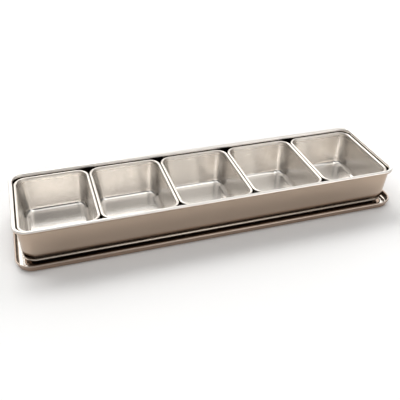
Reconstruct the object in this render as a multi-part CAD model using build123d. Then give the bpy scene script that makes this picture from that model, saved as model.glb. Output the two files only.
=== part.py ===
from build123d import *
from math import cos, radians, sin, tan
import os

# A serving pan for condiments, in pressed stainless steel sheet. Five small pans stand in
# a row in one long outer pan, and the outer pan stands in its own lid, which lies upside
# down under it. Nothing is fastened: each piece lifts off the one below it.
# Sizes are in millimetres. +X runs along the row of pans and +Z is up. The origin is the
# centre of the footprint, on the plane that the lid lies on.

# Row of small pans
PAN_COUNT = 5
RIM_GAP = 0.4             # between the rims of two neighbours
SMALL_LENGTH = 99.6       # over the rim, along the row
SMALL_WIDTH = 128.0       # over the rim, across the row
SMALL_HEIGHT = 51.3       # from the underside to the top of the rim
SMALL_SHEET = 0.7
SMALL_BEAD = 4.0          # outer diameter of the rolled rim
SMALL_CORNER = 12.5       # inside radius of the upright corners
SMALL_BASE_ROUND = 6.5    # inside radius between the walls and the floor
SMALL_DRAFT = 4.5         # lean of the walls, in degrees

# Outer pan
END_CLEARANCE = 0.9       # from the last small rim to the opening's end
SIDE_CLEARANCE = 1.4      # from a small rim to the opening's side
OUTER_SHEET = 0.8
OUTER_BEAD = 4.8
OUTER_CORNER = 14.0
OUTER_BASE_ROUND = 11.2
OUTER_DRAFT = 4.1
RIM_COVER = 4.2           # how far the outer rim stands above the small ones

# Lid
LID_CLEARANCE = 1.0       # between the skirt and the outer pan's rim, when it is closed
LID_SHEET = 0.8
LID_BEAD = 2.4
LID_HEIGHT = 9.3
LID_BASE_ROUND = 3.4
LID_DRAFT = 2.0
PANEL_INSET = 2.4         # the lid's sunk panel keeps this clear of the pan's opening
PANEL_DEPTH = 1.0         # how far the panel is pressed out of the lid's margin
PANEL_SLOPE = 45.0        # of the panel's edge, in degrees
PANEL_ROUND = 1.0         # radius of the bends at the panel's edge
PANEL_CORNER = 12.0

# A rolled rim starts at the top of the wall and turns outward and down. It stops short of
# the wall by this angle, which leaves the open seam of a curled edge.
SEAM_ANGLE = 40.0


def tub(length, width, corner, height, draft, base_round):
    """A solid with leaning walls and a rounded base. Its length and width are at the top."""
    lean = 2 * height * tan(radians(draft))
    top = Pos(0, 0, height) * RectangleRounded(length, width, corner)
    base = RectangleRounded(length - lean, width - lean, corner)
    body = loft([base, top], ruled=True)
    return fillet(body.faces().sort_by(Axis.Z)[0].edges(), base_round)


def open_tub(length, width, corner, height, draft, base_round, sheet):
    """A sheet metal tub, with the inside sizes given. Its underside is at z = 0."""
    outside = tub(length + 2 * sheet, width + 2 * sheet, corner + sheet, height, draft,
                  base_round + sheet)
    inside = tub(length, width, corner, height - sheet, draft, base_round)
    return outside - Pos(0, 0, sheet) * inside


def rolled_rim(length, width, corner, bead, sheet):
    """The curled edge round an opening of this length and width, centred on z = 0."""
    middle = bead / 2
    inner = middle - sheet
    end = radians(180 + SEAM_ANGLE)
    over_top = ThreePointArc((-middle, 0), (0, middle), (middle, 0))
    to_seam = ThreePointArc((middle, 0), (0, -middle), (middle * cos(end), middle * sin(end)))
    back_under = ThreePointArc((inner * cos(end), inner * sin(end)), (0, -inner), (inner, 0))
    back_over = ThreePointArc((inner, 0), (0, inner), (-inner, 0))
    seam_cut = Line(to_seam @ 1, back_under @ 0)
    wall_end = Line(back_over @ 1, over_top @ 0)
    section = make_face([over_top, to_seam, seam_cut, back_under, back_over, wall_end])
    opening = RectangleRounded(length, width, corner).wire()
    side = Plane(origin=(length / 2 + middle, 0, 0), x_dir=(1, 0, 0), z_dir=(0, -1, 0))
    return sweep(side * section, path=opening)


def pan(length, width, corner, height, draft, base_round, sheet, bead):
    """One pressed pan with a rolled rim, its opening's sizes given, its underside at z = 0."""
    wall_top = height - bead / 2
    body = open_tub(length, width, corner, wall_top, draft, base_round, sheet)
    rim = Pos(0, 0, wall_top) * rolled_rim(length, width, corner, bead, sheet)
    return body + rim


def panel(length, width):
    """The raised form that the lid's panel is pressed to, with its foot at z = 0."""
    form = extrude(RectangleRounded(length, width, PANEL_CORNER), PANEL_DEPTH, taper=PANEL_SLOPE)
    return fillet(form.faces().sort_by(Axis.Z)[-1].edges(), PANEL_ROUND)


def lid(length, width, corner, panel_length, panel_width):
    """The lid upside down, its skirt's mouth sizes given, its margin's underside at z = 0."""
    tray = pan(length, width, corner, LID_HEIGHT, LID_DRAFT, LID_BASE_ROUND, LID_SHEET, LID_BEAD)
    pressed = panel(panel_length, panel_width)
    return tray + Pos(0, 0, LID_SHEET) * pressed - pressed


# Sizes at each opening, from the small rims outward
row_pitch = SMALL_LENGTH + RIM_GAP
row_length = PAN_COUNT * row_pitch - RIM_GAP
small_opening_length = SMALL_LENGTH - 2 * SMALL_BEAD
small_opening_width = SMALL_WIDTH - 2 * SMALL_BEAD
outer_opening_length = row_length + 2 * END_CLEARANCE
outer_opening_width = SMALL_WIDTH + 2 * SIDE_CLEARANCE
lid_mouth_length = outer_opening_length + 2 * OUTER_BEAD + 2 * LID_CLEARANCE
lid_mouth_width = outer_opening_width + 2 * OUTER_BEAD + 2 * LID_CLEARANCE
lid_corner = OUTER_CORNER + OUTER_BEAD + LID_CLEARANCE
panel_length = outer_opening_length - 2 * PANEL_INSET
panel_width = outer_opening_width - 2 * PANEL_INSET

# Heights, from the lid's margin upward
outer_base = PANEL_DEPTH + LID_SHEET
small_base = outer_base + OUTER_SHEET
outer_height = OUTER_SHEET + SMALL_HEIGHT + RIM_COVER

os.makedirs("parts", exist_ok=True)

lid_solid = lid(lid_mouth_length, lid_mouth_width, lid_corner, panel_length, panel_width)
export_step(lid_solid, "parts/lid.step")

outer_solid = pan(outer_opening_length, outer_opening_width, OUTER_CORNER, outer_height,
                  OUTER_DRAFT, OUTER_BASE_ROUND, OUTER_SHEET, OUTER_BEAD)
export_step(Pos(0, 0, outer_base) * outer_solid, "parts/outer_pan.step")

small_solid = pan(small_opening_length, small_opening_width, SMALL_CORNER, SMALL_HEIGHT,
                  SMALL_DRAFT, SMALL_BASE_ROUND, SMALL_SHEET, SMALL_BEAD)
for number in range(PAN_COUNT):
    place = Pos((number - (PAN_COUNT - 1) / 2) * row_pitch, 0, small_base)
    export_step(place * small_solid, f"parts/small_pan_{number + 1}.step")
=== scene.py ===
# %% [markdown]
# # A condiment serving pan in Blender
# Five small steel pans stand in a row in one long pan, and the long pan stands in its own
# lid, which lies upside down. Every piece is one sheet of stainless steel, pressed to
# shape, with its edge rolled over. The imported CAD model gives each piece's box and place,
# and this notebook builds a clean mesh and a satin steel finish to fit it.

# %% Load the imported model
from math import cos, hypot, radians, sin, tan

import bpy
from mathutils import Matrix, Vector


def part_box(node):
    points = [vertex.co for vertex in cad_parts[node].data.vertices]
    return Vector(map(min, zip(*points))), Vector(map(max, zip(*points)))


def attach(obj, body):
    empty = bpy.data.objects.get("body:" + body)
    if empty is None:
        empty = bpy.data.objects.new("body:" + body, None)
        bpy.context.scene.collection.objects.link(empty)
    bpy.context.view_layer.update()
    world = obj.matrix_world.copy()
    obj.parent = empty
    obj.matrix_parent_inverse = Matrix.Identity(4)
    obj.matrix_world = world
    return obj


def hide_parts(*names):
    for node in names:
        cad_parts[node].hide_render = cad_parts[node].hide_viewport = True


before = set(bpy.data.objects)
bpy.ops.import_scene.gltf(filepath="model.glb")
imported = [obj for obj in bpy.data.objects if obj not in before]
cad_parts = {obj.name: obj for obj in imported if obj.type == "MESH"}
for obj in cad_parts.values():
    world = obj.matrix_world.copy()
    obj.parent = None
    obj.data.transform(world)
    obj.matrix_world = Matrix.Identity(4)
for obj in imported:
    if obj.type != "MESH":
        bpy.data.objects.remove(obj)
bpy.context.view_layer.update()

# %% [markdown]
# ## Camera
# The photograph looks down at the pan from the front left. A camera could be moved by eye
# until the picture fits, but five equal pans in one level row are as good as a ruler, so the
# lens and the place were worked out from their rims. The turn round the line of sight is
# less than half a degree, and the long rims still show it.

# %% Place the camera
CAMERA_PLACE = Vector((-0.2079, -0.6375, 0.4620))
CAMERA_HEADING = 17.52     # degrees to the right of straight ahead
CAMERA_TILT = 33.81        # degrees down from level
CAMERA_ROLL = 0.48         # degrees round the line of sight
CAMERA_LENS = 51.97        # mm
SENSOR_WIDTH = 36          # mm
NEAR_LIMIT = 0.01          # metres, nothing nearer is drawn

heading, tilt = radians(CAMERA_HEADING), radians(CAMERA_TILT)
sight = Vector((sin(heading) * cos(tilt), cos(heading) * cos(tilt), -sin(tilt)))
level = Vector((cos(heading), -sin(heading), 0))
upward = level.cross(sight)
roll = radians(CAMERA_ROLL)
across = cos(roll) * level + sin(roll) * upward
upright = cos(roll) * upward - sin(roll) * level

camera = bpy.data.objects.new("camera", bpy.data.cameras.new("camera"))
camera.data.lens = CAMERA_LENS
camera.data.sensor_width = SENSOR_WIDTH
camera.data.clip_start = NEAR_LIMIT
camera.matrix_world = (Matrix.Translation(CAMERA_PLACE)
                       @ Matrix((across, upright, -sight)).transposed().to_4x4())
bpy.context.scene.collection.objects.link(camera)
bpy.context.scene.camera = camera
print("camera is", round(CAMERA_PLACE.length, 3), "m from the middle of the pan")

# %% [markdown]
# ## Wiring nodes
# Materials, the world and the geometry tree are all node trees. They could be wired node by
# node in plain Python, but each node would take several lines. Three short helpers keep the
# code readable: one adds any node with its inputs, one a Math node and one a Mix node.

# %% Helpers for node trees
NODE_SPACING = 190         # keeps the nodes apart when a tree is opened in the editor


def add(tree, kind, values=(), **settings):
    """Adds a node. Each value is a socket to link from or a number to write."""
    node = tree.nodes.new(kind)
    node.location.x = NODE_SPACING * len(tree.nodes)
    for name, setting in settings.items():
        setattr(node, name, setting)
    for key, value in dict(values).items():
        if isinstance(value, bpy.types.NodeSocket):
            tree.links.new(value, node.inputs[key])
        else:
            node.inputs[key].default_value = value
    return node


def calc(tree, operation, *values):
    """Adds a Math node and gives its result."""
    return add(tree, "ShaderNodeMath", enumerate(values), operation=operation).outputs[0]


def mix(tree, kind, share, a, b):
    """Adds a Mix node, which keeps numbers and colours in sockets of their own."""
    first, result = {"FLOAT": (2, 0), "RGBA": (6, 2)}[kind]
    return add(tree, "ShaderNodeMix", {0: share, first: a, first + 1: b},
               data_type=kind).outputs[result]


print("node helpers are ready")

# %% [markdown]
# ## Floor
# The photograph is cut out on white, so what the pan stands on isn't seen. The floor could
# be a paper sweep that curves up behind the pan, but a level plane does as well when it is
# so wide that its far edge is lost in the white horizon. It takes the pan's soft shadow, and
# its paint has no gloss, so no light glares on it.

# %% Lay the floor
FLOOR_SIZE = 24.0          # metres
FLOOR_GAP = 0.0002         # keeps the floor clear of the lid's underside
FLOOR_COLOUR = (0.93, 0.935, 0.945, 1)
FLOOR_ROUGHNESS = 0.9
FLOOR_GLOSS = 0.0

half = FLOOR_SIZE / 2
floor_mesh = bpy.data.meshes.new("floor")
floor_mesh.from_pydata([(-half, -half, -FLOOR_GAP), (half, -half, -FLOOR_GAP),
                        (half, half, -FLOOR_GAP), (-half, half, -FLOOR_GAP)], [], [(0, 1, 2, 3)])
floor = bpy.data.objects.new("floor", floor_mesh)
bpy.context.scene.collection.objects.link(floor)
floor_paint = bpy.data.materials.new("floor paint")
floor_paint.use_nodes = True
floor_shader = floor_paint.node_tree.nodes["Principled BSDF"]
floor_shader.inputs["Base Color"].default_value = FLOOR_COLOUR
floor_shader.inputs["Roughness"].default_value = FLOOR_ROUGHNESS
floor_shader.inputs["Specular IOR Level"].default_value = FLOOR_GLOSS
floor_mesh.materials.append(floor_paint)
print("floor is", FLOOR_SIZE, "m across")

# %% [markdown]
# ## Light
# Bare steel shows little but what it mirrors, so the light decides how it looks. Lamps with
# a surface could light the pan, but the steel would show their edges. Here the world itself
# is the studio. It is bright along the horizon and dim overhead, and it holds round soft
# lights, like the lamps and white boards of a photographer. Each fades out from its middle,
# so no edge of one shows. The strongest stand behind the pan and whiten its floors and its
# rims. Weaker ones on the camera's side reach its back walls, and the long front wall is
# left in soft shade.

# %% Light the studio
HORIZON = 1.0              # strength low down all round
OVERHEAD = 0.1             # strength above HORIZON_TOP, where no soft light is
HORIZON_BAND = 8.0         # degrees up, to where the horizon is at full strength
HORIZON_TOP = 20.0         # degrees up, to where it has faded out
SOFT_LIGHTS = [            # degrees right of straight ahead, degrees up, radius, strength
    (325, 40, 25, 4.2),
    (358, 51, 15, 7.5),
    (0, 20, 22, 1.3),
    (22, 42, 20, 1.5),
    (52, 32, 28, 1.7),
    (48, 10, 24, 2.2),
    (110, 64, 24, 0.6),
    (150, 25, 22, 0.5),
    (150, 52, 24, 0.7),
    (155, 76, 22, 1.1),
    (152, 3, 26, 2.6),
    (210, 40, 24, 0.5),
    (250, 64, 24, 1.0),
]
LIGHT_COLOUR = (1.0, 0.99, 0.97, 1)

world = bpy.data.worlds.new("studio")
bpy.context.scene.world = world
world.use_nodes = True
sky = world.node_tree
direction = add(sky, "ShaderNodeTexCoord").outputs["Generated"]
up = add(sky, "ShaderNodeSeparateXYZ", {0: direction}).outputs["Z"]
strength = add(sky, "ShaderNodeMapRange",
               {"Value": up, "From Min": sin(radians(HORIZON_BAND)),
                "From Max": sin(radians(HORIZON_TOP)), "To Min": HORIZON, "To Max": OVERHEAD},
               interpolation_type="SMOOTHSTEP").outputs["Result"]
for azimuth, elevation, radius, power in SOFT_LIGHTS:
    azimuth, elevation = radians(azimuth), radians(elevation)
    towards = (sin(azimuth) * cos(elevation), cos(azimuth) * cos(elevation), sin(elevation))
    facing = add(sky, "ShaderNodeVectorMath", {0: direction, 1: towards},
                 operation="DOT_PRODUCT").outputs["Value"]
    glow = add(sky, "ShaderNodeMapRange",
               {"Value": facing, "From Min": cos(radians(radius)), "From Max": 1.0},
               interpolation_type="SMOOTHSTEP").outputs["Result"]
    strength = calc(sky, "MULTIPLY_ADD", glow, power, strength)
background = sky.nodes["Background"]
background.inputs["Color"].default_value = LIGHT_COLOUR
sky.links.new(strength, background.inputs["Strength"])
bpy.context.scene.view_settings.view_transform = "Standard"
print("studio has", len(SOFT_LIGHTS), "soft lights")

# %% [markdown]
# ## The lines of the sheet
# Rolled sheet keeps the fine lines of the rolls, and a pressed pan keeps them too. They
# could be drawn as light and dark streaks, but on real steel they are bare relief, too fine
# to see one by one. So they are noise, drawn out long in one direction of the sheet, for a
# bump to turn into relief. All three steels use them, so they are a node group with named
# inputs, built once.

# %% Node group: the lines of the sheet
NOISE_ROUGHNESS = 0.55     # how much the finer layers of a noise count
LINE_DETAIL = 4.0          # finer layers in the lines' noise
LINE_SPACING = 0.0006
LINE_LENGTH = 0.04


def start_group(name, inputs, outputs):
    """A shader node group with these named sockets, and its two end nodes."""
    group = bpy.data.node_groups.new(name, "ShaderNodeTree")
    for socket, kind, value in inputs:
        made = group.interface.new_socket(name=socket, in_out="INPUT", socket_type=kind)
        if value is not None:
            made.default_value = value
    for socket, kind in outputs:
        group.interface.new_socket(name=socket, in_out="OUTPUT", socket_type=kind)
    return group, group.nodes.new("NodeGroupInput").outputs, group.nodes.new("NodeGroupOutput")


def give(group, end, **results):
    """Links results to a group's outputs."""
    for name, socket in results.items():
        group.links.new(socket, end.inputs[name])


def stretched(group, place, scales):
    """The place with each axis scaled by its own factor."""
    parts = add(group, "ShaderNodeSeparateXYZ", {0: place}).outputs
    scaled = [calc(group, "MULTIPLY", part, scale) for part, scale in zip(parts, scales)]
    return add(group, "ShaderNodeCombineXYZ", enumerate(scaled)).outputs[0]


def noise(group, place, detail):
    """Noise of unit scale at this place, from 0 to 1."""
    return add(group, "ShaderNodeTexNoise",
               {"Vector": place, "Scale": 1.0, "Detail": detail,
                "Roughness": NOISE_ROUGHNESS}).outputs["Fac"]


sheet_lines, asked, end = start_group(
    "sheet lines",
    [("Flat Sheet", "NodeSocketVector", None),
     ("Line Spacing", "NodeSocketFloat", LINE_SPACING),
     ("Line Length", "NodeSocketFloat", LINE_LENGTH)],
    [("Lines", "NodeSocketFloat")])
fine = calc(sheet_lines, "DIVIDE", 1.0, asked["Line Spacing"])
slow = calc(sheet_lines, "DIVIDE", 1.0, asked["Line Length"])
drawn_out = stretched(sheet_lines, asked["Flat Sheet"], (slow, fine, 0.0))
give(sheet_lines, end, Lines=noise(sheet_lines, drawn_out, LINE_DETAIL))
print(sheet_lines.name, "has", len(sheet_lines.nodes), "nodes")

# %% [markdown]
# ## Slow waves and cloudy marks
# Drawing the sheet into a pan leaves slow waves, and washing leaves faint cloudy marks. The
# waves could be part of the mesh, but it would need many more faces to hold them. Both are
# slow noise over the place on the piece: one for the relief, and one for colour and blur.

# %% Node group: slow waves and cloudy marks
WAVE_SIZE = 0.03
MARK_SIZE = 0.05
SLOW_DETAIL = 1.0          # finer layers in both noises
CLOUD_RANGE = (0.2, 0.8)   # what the marks' noise mostly spans, drawn out to 0 and 1

slow_marks, asked, end = start_group(
    "waves and marks",
    [("Place", "NodeSocketVector", None), ("Wave Size", "NodeSocketFloat", WAVE_SIZE),
     ("Mark Size", "NodeSocketFloat", MARK_SIZE)],
    [("Waves", "NodeSocketFloat"), ("Marks", "NodeSocketFloat")])
per_wave = calc(slow_marks, "DIVIDE", 1.0, asked["Wave Size"])
waves = noise(slow_marks, stretched(slow_marks, asked["Place"], [per_wave] * 3), SLOW_DETAIL)
per_mark = calc(slow_marks, "DIVIDE", 1.0, asked["Mark Size"])
clouds = noise(slow_marks, stretched(slow_marks, asked["Place"], [per_mark] * 3), SLOW_DETAIL)
cloudy = add(slow_marks, "ShaderNodeMapRange",
             {"Value": clouds, "From Min": CLOUD_RANGE[0],
              "From Max": CLOUD_RANGE[1]}).outputs["Result"]
give(slow_marks, end, Waves=waves, Marks=cloudy)
print(slow_marks.name, "has", len(slow_marks.nodes), "nodes")

# %% [markdown]
# ## Colour and blur from burnish and painted shade
# Steel in a kitchen is not the same all over. Where the press's die bent the sheet, it is
# burnished. The rest of the colour is painted light: insides and rim tops stay bright,
# outsides are painted brown as a painted reflection, and painted shade darkens them where
# shade falls, as between two pans. This could be painted in a picture, but the mesh carries
# it as one number at every point: -1 is burnished, 0 bright, 1 painted brown and 2 painted
# shade. So it follows the form.

# %% What burnish and painted shade do to the steel
PAINTED_SHADE_DEPTH = 0.8                # share of the light that the painted shade takes where it is darkest
MARK_SHADE = 0.05          # share of the light that a cloudy mark takes
MARK_BLUR = 0.015          # roughness that a cloudy mark adds
BURNISH = 0.14             # roughness that the press's die takes off where the sheet bends
RIM_BLEND = 0.001          # half the height over which the wall's roughness turns to the rim's


def steel_colour(tree, tarnish, marks, bright, brown):
    """Bright at 0, a painted brown reflection at 1, and darker painted shade above 1."""
    base = mix(tree, "RGBA", tarnish, bright, brown)
    shade_amount = calc(tree, "MAXIMUM", calc(tree, "SUBTRACT", tarnish, 1.0), 0.0)
    shade = calc(tree, "MULTIPLY_ADD", marks, -MARK_SHADE, 1.0)
    shade = calc(tree, "MULTIPLY_ADD", shade_amount, -PAINTED_SHADE_DEPTH, shade)
    return add(tree, "ShaderNodeVectorMath", {0: base, 1: shade}, operation="MULTIPLY").outputs[0]


def steel_roughness(tree, tarnish, marks, place, roughness, rim_roughness, rim_height):
    """The sheet's roughness, less where it is burnished, and the rim's own at its height."""
    height = add(tree, "ShaderNodeSeparateXYZ", {0: place}).outputs["Z"]
    rim = add(tree, "ShaderNodeMapRange",
              {"Value": height, "From Min": rim_height - RIM_BLEND,
               "From Max": rim_height + RIM_BLEND}).outputs["Result"]
    rough = calc(tree, "MULTIPLY_ADD", marks, MARK_BLUR, roughness)
    burnished = calc(tree, "MINIMUM", tarnish, 0.0)
    rough = calc(tree, "MULTIPLY_ADD", burnished, BURNISH, rough)
    return mix(tree, "FLOAT", rim, rough, rim_roughness)


print("grime takes", round(100 * PAINTED_SHADE_DEPTH), "% of the light")

# %% [markdown]
# ## Satin steel
# The sheet's lines blur what the steel mirrors, and more across them than along them. Relief
# alone could do it, but relief finer than a pixel is lost in a picture, so the shader's
# anisotropy does most of it, and the relief adds a little life. The steel itself is plain
# metal. The three differ in colour, polish and waves: the small pans have the softest shine,
# and the lid, which lies underneath, is painted darkest, as painted shade. Their browns are
# painted light too: a painted brown reflection, and painted shade.

# %% Build the three steels
LINE_BLUR = 0.7            # how much more the steel blurs across its lines than along them
ACROSS = 0.25              # a quarter turn, from along the lines to across them
LINE_DEPTH = 0.0000015
CLEAN = (0.83, 0.80, 0.765, 1)
# painted light: the outer pan's and lid's browns are a painted brown reflection, the small pans'
# brown is painted shade, and the lid's grey is painted shade
SMALL_SHADE_BROWN = (0.42, 0.37, 0.32, 1)
OUTER_REFLECTION_BROWN = (0.49, 0.38, 0.295, 1)
LID_SHADE_GREY = (0.62, 0.60, 0.57, 1)
LID_REFLECTION_BROWN = (0.36, 0.265, 0.205, 1)


def satin_steel(name, bright, brown, roughness, rim_roughness, rim_height, wave_depth):
    """A satin steel that follows the piece's burnish and painted shade and the sheet's own
    directions.
    """
    material = bpy.data.materials.new(name)
    material.use_nodes = True
    tree = material.node_tree
    shader = tree.nodes["Principled BSDF"]
    shader.inputs["Metallic"].default_value = 1.0
    shader.inputs["Anisotropic"].default_value = LINE_BLUR
    shader.inputs["Anisotropic Rotation"].default_value = ACROSS
    along_lines = add(tree, "ShaderNodeTangent", direction_type="UV_MAP", uv_map="sheet")
    flat = add(tree, "ShaderNodeUVMap", uv_map="sheet").outputs[0]
    place = add(tree, "ShaderNodeTexCoord").outputs["Object"]
    tarnish = add(tree, "ShaderNodeAttribute", attribute_name="tarnish").outputs["Fac"]
    fine_relief = add(tree, "ShaderNodeGroup",
                      {"Flat Sheet": flat, "Line Spacing": LINE_SPACING,
                       "Line Length": LINE_LENGTH}, node_tree=sheet_lines).outputs["Lines"]
    slow_effects = add(tree, "ShaderNodeGroup",
                       {"Place": place, "Wave Size": WAVE_SIZE, "Mark Size": MARK_SIZE},
                       node_tree=slow_marks).outputs
    marks = slow_effects["Marks"]
    line_relief = calc(tree, "MULTIPLY", fine_relief, LINE_DEPTH)
    relief = calc(tree, "MULTIPLY_ADD", slow_effects["Waves"], wave_depth, line_relief)
    bump = add(tree, "ShaderNodeBump", {"Height": relief, "Strength": 1.0, "Distance": 1.0})
    for socket, result in (
            ("Base Color", steel_colour(tree, tarnish, marks, bright, brown)),
            ("Roughness", steel_roughness(tree, tarnish, marks, place, roughness,
                                          rim_roughness, rim_height)),
            ("Normal", bump.outputs["Normal"]),
            ("Tangent", along_lines.outputs[0])):
        tree.links.new(result, shader.inputs[socket])
    print(name, "has", len(tree.nodes), "nodes")
    return material


small_steel = satin_steel("small pan steel", CLEAN, SMALL_SHADE_BROWN, roughness=0.26,
                          rim_roughness=0.3, rim_height=0.0505, wave_depth=0.00003)
outer_steel = satin_steel("outer pan steel", CLEAN, OUTER_REFLECTION_BROWN, roughness=0.15,
                          rim_roughness=0.4, rim_height=0.0545, wave_depth=0.00006)
lid_steel = satin_steel("lid steel", LID_SHADE_GREY, LID_REFLECTION_BROWN, roughness=0.18,
                        rim_roughness=0.3, rim_height=0.0075, wave_depth=0.00004)

# %% [markdown]
# ## Pressing the sheet
# Every piece is the same kind of form: a section that runs from the middle of the floor, up
# the wall, over the rolled rim and back down the outside, carried round a rectangle with
# round corners. A box with Bevel and Solidify modifiers comes near it, but can't roll a rim.
# Carrying a section along a curve is the usual way, but then every corner's radius follows
# from the curve's own, and a drawn pan's floor is rounder than that. So one Geometry Nodes
# tree bends a plain tube for all seven pieces. Each ring of the tube becomes one station of
# the section, each column one place round the mouth, and its two ends close the floor.

# %% Geometry Nodes tree: the inputs and the tube
TREE_INPUTS = {"Section": "Object", "Mouth Length": "Float", "Mouth Width": "Float",
               "Centre": "Vector", "Corner Steps": "Int", "Corner Margin": "Float",
               "Steel": "Material"}
CORNER_EXTRAS = 3          # an arc has one more point than steps, and a margin point each side

pressed_sheet = bpy.data.node_groups.new("pressed sheet", "GeometryNodeTree")
for name, kind in TREE_INPUTS.items():
    pressed_sheet.interface.new_socket(name=name, in_out="INPUT", socket_type="NodeSocket" + kind)
pressed_sheet.interface.new_socket(name="Sheet", in_out="OUTPUT",
                                   socket_type="NodeSocketGeometry")
asked = pressed_sheet.nodes.new("NodeGroupInput").outputs

stations = add(pressed_sheet, "GeometryNodeObjectInfo",
               {"Object": asked["Section"]}).outputs["Geometry"]
station_count = add(pressed_sheet, "GeometryNodeAttributeDomainSize",
                    {"Geometry": stations}).outputs["Point Count"]
per_corner = calc(pressed_sheet, "ADD", asked["Corner Steps"], CORNER_EXTRAS)
columns = calc(pressed_sheet, "MULTIPLY", per_corner, 4)
tube = add(pressed_sheet, "GeometryNodeMeshCylinder",
           {"Vertices": columns, "Side Segments": calc(pressed_sheet, "SUBTRACT", station_count, 1)},
           fill_type="NGON").outputs["Mesh"]
print("the tree asks for", ", ".join(TREE_INPUTS))

# %% [markdown]
# ## Finding a point's place on the sheet
# A point of the tube has to know its station and its corner. Both could be stored on a mesh
# made in Python, but the tube numbers its points ring by ring, so its own index tells them.
# The station's sizes are then read off the section, which is a string of points. A point of
# it holds how far it lies outside the mouth, its corner radius and its height, and with them
# its burnish and painted shade mark and its run, which is how far along the sheet it lies.

# %% Geometry Nodes tree: station, corner and step of a point
def grouped(tree, number, size):
    """Which group of this size a number counted from 0 is in, and its number in the group.

    The half keeps a rounding error from taking it into the group before."""
    group = calc(tree, "FLOOR", calc(tree, "DIVIDE", calc(tree, "ADD", number, 0.5), size))
    return group, calc(tree, "SUBTRACT", number, calc(tree, "MULTIPLY", group, size))


def read_station(tree, number):
    """What one station of the section holds."""
    def read(value, kind):
        return add(tree, "GeometryNodeSampleIndex",
                   {"Geometry": stations, "Value": value, "Index": number},
                   data_type=kind).outputs["Value"]

    position = add(tree, "GeometryNodeInputPosition").outputs[0]
    sizes = add(tree, "ShaderNodeSeparateXYZ", {0: read(position, "FLOAT_VECTOR")}).outputs
    held = dict(zip(("offset", "radius", "height"), sizes))
    for name in ("run", "tarnish"):
        stored = add(tree, "GeometryNodeInputNamedAttribute", {"Name": name}, data_type="FLOAT")
        held[name] = read(stored.outputs["Attribute"], "FLOAT")
    return held


index = add(pressed_sheet, "GeometryNodeInputIndex").outputs[0]
ring, column = grouped(pressed_sheet, index, columns)
corner, step = grouped(pressed_sheet, column, per_corner)
at_ring = read_station(pressed_sheet, ring)
at_start = read_station(pressed_sheet, 0)
print("a station holds", ", ".join(at_ring))

# %% [markdown]
# ## Going round the mouth
# The mouth is a rectangle with round corners. Its outline could be a curve to sample, but
# four arcs with straight sides between them need only a little arithmetic, and each station
# can have its own radius. The first and the last point of a corner slide off its arc onto
# the straight sides, by a small margin, so that the shading of a flat wall stays flat.

# %% Geometry Nodes tree: the outline
share = calc(pressed_sheet, "DIVIDE", calc(pressed_sheet, "SUBTRACT", step, 1),
             asked["Corner Steps"])
turned = add(pressed_sheet, "ShaderNodeClamp", {"Value": share}).outputs[0]
angle = calc(pressed_sheet, "MULTIPLY", calc(pressed_sheet, "ADD", corner, turned), radians(90))
cosine, sine = calc(pressed_sheet, "COSINE", angle), calc(pressed_sheet, "SINE", angle)
diagonal = calc(pressed_sheet, "MULTIPLY_ADD", corner, radians(90), radians(45))
is_first = calc(pressed_sheet, "LESS_THAN", step, 0.5)
is_last = calc(pressed_sheet, "GREATER_THAN", step,
               calc(pressed_sheet, "ADD", asked["Corner Steps"], 1.5))
slide = calc(pressed_sheet, "MULTIPLY", calc(pressed_sheet, "SUBTRACT", is_last, is_first),
             asked["Corner Margin"])


def on_outline(tree, offset, radius):
    """X and Y on the round-cornered rectangle this far outside the mouth."""
    places = []
    for size, side, along, sideways in (
            ("Mouth Length", "COSINE", cosine, calc(tree, "MULTIPLY", sine, -1)),
            ("Mouth Width", "SINE", sine, cosine)):
        reach = calc(tree, "MULTIPLY_ADD", asked[size], 0.5, offset)
        arc_middle = calc(tree, "MULTIPLY", calc(tree, "SUBTRACT", reach, radius),
                          calc(tree, "SIGN", calc(tree, side, diagonal)))
        arc_point = calc(tree, "MULTIPLY_ADD", radius, along, arc_middle)
        places.append(calc(tree, "MULTIPLY_ADD", slide, sideways, arc_point))
    return places


x, y = on_outline(pressed_sheet, at_ring["offset"], at_ring["radius"])
flat_x, flat_y = on_outline(
    pressed_sheet, calc(pressed_sheet, "ADD", at_start["offset"], at_ring["run"]),
    calc(pressed_sheet, "ADD", at_start["radius"], at_ring["run"]))
print("the tree has", len(pressed_sheet.nodes), "nodes so far")

# %% [markdown]
# ## Bending the tube
# Every point of the tube is moved to its place on the pressed piece. Before that, it is told
# where it lay in the flat sheet that the piece was pressed from, which becomes the piece's
# UV map. The fine lines could follow the object's axes, but then they would smear on two of
# the walls. On the flat sheet they run over floor, walls and rim as on the real one.

# %% Geometry Nodes tree: bend, mark and finish
place = add(pressed_sheet, "ShaderNodeCombineXYZ", {0: x, 1: y, 2: at_ring["height"]}).outputs[0]
place = add(pressed_sheet, "ShaderNodeVectorMath", {0: place, 1: asked["Centre"]},
            operation="ADD").outputs[0]
flat = add(pressed_sheet, "ShaderNodeCombineXYZ", {0: flat_x, 1: flat_y}).outputs[0]
flat = add(pressed_sheet, "GeometryNodeFieldOnDomain", {0: flat}, data_type="FLOAT_VECTOR",
           domain="POINT").outputs[0]
shape = add(pressed_sheet, "GeometryNodeStoreNamedAttribute",
            {"Geometry": tube, "Name": "sheet", "Value": flat},
            data_type="FLOAT2", domain="CORNER").outputs[0]
shape = add(pressed_sheet, "GeometryNodeStoreNamedAttribute",
            {"Geometry": shape, "Name": "tarnish", "Value": at_ring["tarnish"]},
            data_type="FLOAT", domain="POINT").outputs[0]
shape = add(pressed_sheet, "GeometryNodeSetPosition",
            {"Geometry": shape, "Position": place}).outputs[0]
shape = add(pressed_sheet, "GeometryNodeSetShadeSmooth", {"Geometry": shape}).outputs[0]
shape = add(pressed_sheet, "GeometryNodeRealizeInstances", {"Geometry": shape}).outputs[0]
shape = add(pressed_sheet, "GeometryNodeSetMaterial",
            {"Geometry": shape, "Material": asked["Steel"]}).outputs[0]
add(pressed_sheet, "NodeGroupOutput", {0: shape})
print("the tree has", len(pressed_sheet.nodes), "nodes")
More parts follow.
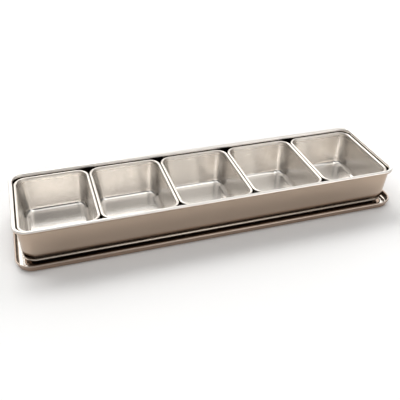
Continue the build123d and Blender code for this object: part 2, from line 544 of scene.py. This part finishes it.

# %% [markdown]
# ## Making one piece
# The tree could stay on each piece as a live modifier, but a plain mesh is the same in every
# program. So the tree runs once for a piece, its result is kept as a mesh, and the modifier
# goes. The piece then takes its CAD node's place, and moves as that node does.

# %% Run the tree for one piece
CORNER_STEPS = 12
CORNER_MARGIN = 0.0006     # how far the first and last point of a corner lie off its arc


def press(name, section, mouth, centre, steel):
    """One pressed piece as a plain mesh object, named for the CAD node that it replaces."""
    points = bpy.data.objects.new("section", bpy.data.meshes.new("section"))
    points.data.from_pydata([station[:3] for station in section], [], [])
    runs = [0.0]
    for a, b in zip(section, section[1:]):
        runs.append(runs[-1] + hypot(b[0] - a[0], b[2] - a[2]))
    tarnish = [station[3] for station in section]
    for attribute, values in (("run", runs), ("tarnish", tarnish)):
        points.data.attributes.new(attribute, "FLOAT", "POINT").data.foreach_set("value", values)
    piece = bpy.data.objects.new(name + "_steel", bpy.data.meshes.new(name))
    for thing in (points, piece):
        bpy.context.scene.collection.objects.link(thing)
    modifier = piece.modifiers.new("press", "NODES")
    modifier.node_group = pressed_sheet
    inputs = {"Section": points, "Mouth Length": mouth[0], "Mouth Width": mouth[1],
              "Centre": centre, "Corner Steps": CORNER_STEPS, "Corner Margin": CORNER_MARGIN,
              "Steel": steel}
    for socket in pressed_sheet.interface.items_tree:
        if socket.in_out == "INPUT":
            modifier[socket.identifier] = inputs[socket.name]
    evaluated = piece.evaluated_get(bpy.context.evaluated_depsgraph_get())
    mesh = bpy.data.meshes.new_from_object(evaluated)
    piece.modifiers.remove(modifier)
    piece.data = mesh
    bpy.data.objects.remove(points)
    print(name, "has", len(mesh.polygons), "faces")
    return piece


def seat(piece, node):
    """Puts a finished piece in its CAD node's place."""
    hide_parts(node)
    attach(piece, node)


def node_frame(node, bead):
    """A node's mouth sizes, centre, base height and height, from its CAD box."""
    low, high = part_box(node)
    mouth = (high.x - low.x - 2 * bead, high.y - low.y - 2 * bead)
    return mouth, ((low.x + high.x) / 2, (low.y + high.y) / 2, 0), low.z, high.z - low.z


print("a corner takes", CORNER_STEPS, "steps")

# %% [markdown]
# ## One side of the sheet
# The wall leans outward by its draft, as a pressed pan's has to so that it comes off its
# die, and a round joins it to the floor. This could be a curve drawn by hand, but points
# worked out on plain arcs, as in a shop drawing, have exactly the radii that are asked for.
# Close extra stations beside each bend keep the flat parts flat when the mesh is shaded
# smooth. A drawn pan's floor has rounder corners than its mouth would give it, because the
# sheet can't follow a tight one, so they are eased.

# %% Draw one side of the sheet
ROUND_STEPS = 10
CORNER_EASE = 0.5          # 1 would draw the floor's corners in as far as its sides
FLAT_MARGIN = 0.0005       # from a bend to the station that keeps the flat beside it flat


def arc(centre, radius, start, stop, steps):
    """Points on an arc from one angle to another in degrees, both ends included."""
    angles = [radians(start + (stop - start) * i / steps) for i in range(steps + 1)]
    return [(centre[0] + radius * cos(a), centre[1] + radius * sin(a)) for a in angles]


def between(a, b, before_b):
    """Two points near the ends of the straight from a to b, before_b short of b."""
    length = (Vector(b) - Vector(a)).length
    return [tuple(Vector(a).lerp(Vector(b), t))
            for t in (FLAT_MARGIN / length, 1 - before_b / length)]


def skin(corner, top, draft, base_round, rise, reach, below_rim=FLAT_MARGIN):
    """Floor, base round and wall of one side of the sheet.

    Its floor is at the height rise, and its wall ends at top, as far as reach outside the
    mouth. The last station is below_rim short of that."""
    lean = tan(radians(draft))
    middle = (reach - (top - rise - base_round) * lean - base_round / cos(radians(draft)),
              rise + base_round)
    bend = arc(middle, base_round, -90, -draft, ROUND_STEPS)
    foot = bend[-1][0]
    floor_part = [(bend[0][0] - FLAT_MARGIN, bend[0][1])] + bend
    return ([(x, corner + reach - CORNER_EASE * (foot - x), z) for x, z in floor_part]
            + [(x, corner + reach, z) for x, z in between(bend[-1], (reach, top), below_rim)])


print("a base round takes", ROUND_STEPS, "steps")

# %% [markdown]
# ## The rolled rim
# The edge of the sheet is rolled outward into a small tube, which stiffens the pan and hides
# the sharp edge. A solid bead would look the same from above, but from below the seam beside
# the wall would be missing. The rim keeps one mark on top, down to a certain angle, and from
# there on its underside is darker: painted shade and a painted brown reflection.

# %% Draw the rolled rim
SEAM_ANGLE = 40.0          # degrees of the rim's tube left open, beside the wall
RIM_STEPS = 24


def rolled_rim(corner, top, bead, sheet, rim_top_mark, below, top_ends_at):
    """The rim's section, from the inside of the wall, out, down to the seam and back.

    Its top keeps one mark down to a given angle above its outermost line, and from there on
    it takes the darker mark below, painted shade."""
    middle = (bead / 2, top)
    seam = SEAM_ANGLE - 180
    outer_face = arc(middle, bead / 2, 180, seam, RIM_STEPS)
    inner_face = arc(middle, bead / 2 - sheet, seam, 180, RIM_STEPS)
    stations = []
    for i, (x, z) in enumerate(outer_face + inner_face):
        rim_band = 180 + (seam - 180) * i / RIM_STEPS > top_ends_at
        stations.append((x, corner + x, z, rim_top_mark if rim_band else below))
    return stations


print("a rim is open for", SEAM_ANGLE, "degrees")

# %% [markdown]
# ## The whole section of a pan
# The inner side, the rim and the outer side, turned round, make one closed sheet. A Solidify
# modifier could give it its thickness, but would copy one side's marks to the other, and
# a pan is bright inside and painted brown outside. Each side gets its mark at four places: the
# floor, its bend, the foot of the wall and its top. The bend's own value holds for three
# quarters of it, and then turns into the foot's.

# %% Put the section together
FOOT_SHARE = 0.25          # share of the bend over which its mark turns into the foot's
# burnished is roughness only, painted brown is a painted reflection, painted dark is painted shade
BURNISHED, BRIGHT, PAINTED_BROWN, PAINTED_DARK = -1, 0, 1, 2


def side_with_marks(stations, floor_mark, bend_mark, foot_mark, top_mark):
    """One side of the sheet with its burnish and painted shade marks."""
    shares = [max(0.0, (i / ROUND_STEPS - 1 + FOOT_SHARE) / FOOT_SHARE)
              for i in range(1, ROUND_STEPS + 1)]
    marks = ([floor_mark, (floor_mark + bend_mark) / 2]
             + [bend_mark + (foot_mark - bend_mark) * share for share in shares]
             + [foot_mark, top_mark])
    return [(*station, mark) for station, mark in zip(stations, marks)]


def pan_section(corner, height, draft, base_round, sheet, bead, inside, outside, rim, rim_band=0):
    """The whole section of a pan, from the middle of its floor to its underside.

    The inside keeps the rim's top mark for a band as far down the wall as asked."""
    top = height - bead / 2
    inner = skin(corner, top, draft, base_round, sheet, 0, rim_band + FLAT_MARGIN)
    outer = skin(corner, top, draft, base_round + sheet, 0, sheet)
    lean = rim_band * tan(radians(draft))
    rim_top_mark = [(-lean, corner - lean, top - rim_band, rim[0])] if rim_band else []
    return (side_with_marks(inner, *inside) + rim_top_mark + rolled_rim(corner, top, bead, sheet, *rim)
            + side_with_marks(outer, *outside)[::-1])


def at_base(section, base):
    """The section moved up to stand at this height."""
    return [(x, radius, z + base, tarnish) for x, radius, z, tarnish in section]


print("tarnish runs from", BURNISHED, "to", PAINTED_DARK)

# %% [markdown]
# ## Small pans
# Five equal pans, each 0.7 mm sheet with a 4 mm rolled rim. One could be made and copied four
# times, but making each from its own CAD box keeps every one in its place. Their bends are
# burnished inside. Their outsides are painted brown, and darker high up, as painted shade
# where two pans nearly meet.

# %% Press the small pans
SMALL_PANS = 5
SMALL_BEAD = 0.004
SMALL_SHEET = 0.0007
SMALL_CORNER = 0.0125
SMALL_BASE_ROUND = 0.0065
SMALL_DRAFT = 4.5
SMALL_INSIDE = (BRIGHT, BURNISHED, BRIGHT, BRIGHT)
# outside painted brown, and darker at the top: painted shade where two pans nearly meet
SMALL_OUTSIDE = (PAINTED_BROWN, PAINTED_BROWN, PAINTED_BROWN, PAINTED_DARK)
SMALL_RIM = (0.5, 1.6, 38.0)    # top half painted brown, painted shade that narrows its highlight; darker painted shade below; degrees where they meet

for number in range(1, SMALL_PANS + 1):
    node = f"small_pan_{number}"
    mouth, centre, base, height = node_frame(node, SMALL_BEAD)
    section = pan_section(SMALL_CORNER, height, SMALL_DRAFT, SMALL_BASE_ROUND, SMALL_SHEET,
                          SMALL_BEAD, SMALL_INSIDE, SMALL_OUTSIDE, SMALL_RIM)
    seat(press(node, at_base(section, base), mouth, centre, small_steel), node)

# %% [markdown]
# ## Outer pan
# The long pan is deeper than the small ones and rounder at its base. Its floor could be left
# out, since the small pans hide it, but they lift out. Its rim is bright on top, and a narrow
# band of the wall just inside the rim keeps that colour. Below the band the wall is painted
# dark, a painted shade line under the rim, and the rest of the inside is a little painted
# brown, as painted shade under the small pans. Outside it is painted brown, a painted
# reflection, and the round at its base is left bright, a painted highlight that gives the
# light line along its foot.

# %% Press the outer pan
OUTER_BEAD = 0.0048
OUTER_SHEET = 0.0008
OUTER_CORNER = 0.014
OUTER_BASE_ROUND = 0.0112
OUTER_DRAFT = 4.1
# inside a little painted brown, painted shade under the small pans, and painted dark at the top, a
# painted shade line
OUTER_INSIDE = (0.3, 0.3, 0.3, PAINTED_DARK)
# outside painted brown, a painted reflection; the bend left bright, a painted highlight, and the
# foot a little lighter against its shade
OUTER_OUTSIDE = (PAINTED_BROWN, BRIGHT, 0.9, PAINTED_BROWN)
OUTER_RIM = (BRIGHT, PAINTED_BROWN, 12.0)
OUTER_TOP_BAND = 0.0015      # how far down the inside keeps the rim's top colour, above the painted shade line

mouth, centre, base, height = node_frame("outer_pan", OUTER_BEAD)
section = pan_section(OUTER_CORNER, height, OUTER_DRAFT, OUTER_BASE_ROUND, OUTER_SHEET,
                      OUTER_BEAD, OUTER_INSIDE, OUTER_OUTSIDE, OUTER_RIM, OUTER_TOP_BAND)
seat(press("outer_pan", at_base(section, base), mouth, centre, outer_steel), "outer_pan")

# %% [markdown]
# ## Lid
# The lid lies upside down, so it is a shallow tray here. Its middle is pressed one
# millimetre out of the margin, and the long pan stands on that panel. It could be a separate
# sheet laid on top, but it is the same sheet on the real lid, so its section starts on the
# panel, steps down the slope and goes on as a pan's does. The low wall is painted dark, as
# painted shade, and with the long pan's shade it gives the dark band under that pan. The
# panel under the pan is painted brown and a little darker, painted shade, and the outside
# and the rim's underside are painted brown, a painted reflection.

# %% Press the lid
LID_BEAD = 0.0024
LID_SHEET = 0.0008
LID_CORNER = 0.0198
LID_BASE_ROUND = 0.0022
LID_DRAFT = 2.0
# low wall painted dark, painted shade; outside and rim underside painted brown, a painted reflection
LID_INSIDE = (BRIGHT, BRIGHT, PAINTED_DARK, PAINTED_DARK)
LID_OUTSIDE = (PAINTED_BROWN, PAINTED_BROWN, PAINTED_BROWN, PAINTED_BROWN)
LID_RIM = (0.7, PAINTED_BROWN, 12.0)
PANEL_DEPTH = 0.001
PANEL_INSET = 0.0082       # from the mouth to the foot of the panel's slope
PANEL_SLOPE = 45.0
PANEL_ROUND = 0.001
PANEL_FOOT_ROUND = 0.0005
PANEL_CORNER = 0.012
PANEL_STEPS = 6
# painted brown and a little darker: painted shade under the long pan
PANEL_IN_SHADE = 1.4


def panel_section(floor_height, panel_mark, margin_mark):
    """One side of the sheet over the panel's edge, from the panel out to the margin."""
    half_turn = tan(radians(PANEL_SLOPE / 2))
    crest = -PANEL_INSET - PANEL_DEPTH / tan(radians(PANEL_SLOPE)) - PANEL_ROUND * half_turn
    top_bend = arc((crest, floor_height + PANEL_DEPTH - PANEL_ROUND), PANEL_ROUND,
                   90, 90 - PANEL_SLOPE, PANEL_STEPS)
    foot_bend = arc((PANEL_FOOT_ROUND * half_turn - PANEL_INSET, floor_height + PANEL_FOOT_ROUND),
                    PANEL_FOOT_ROUND, -90 - PANEL_SLOPE, -90, PANEL_STEPS)
    start = [(top_bend[0][0] - FLAT_MARGIN, top_bend[0][1])]
    margin = [(foot_bend[-1][0] + FLAT_MARGIN, foot_bend[-1][1])]
    return [(x, PANEL_CORNER + x + PANEL_INSET, z, tarnish)
            for part, tarnish in ((start + top_bend, panel_mark),
                                  (foot_bend + margin, margin_mark))
            for x, z in part]


mouth, centre, base, height = node_frame("lid", LID_BEAD)
tray = pan_section(LID_CORNER, height, LID_DRAFT, LID_BASE_ROUND, LID_SHEET, LID_BEAD,
                   LID_INSIDE, LID_OUTSIDE, LID_RIM)
section = (panel_section(LID_SHEET, PANEL_IN_SHADE, BRIGHT) + tray
           + panel_section(0, PAINTED_BROWN, PAINTED_BROWN)[::-1])
seat(press("lid", at_base(section, base), mouth, centre, lid_steel), "lid")
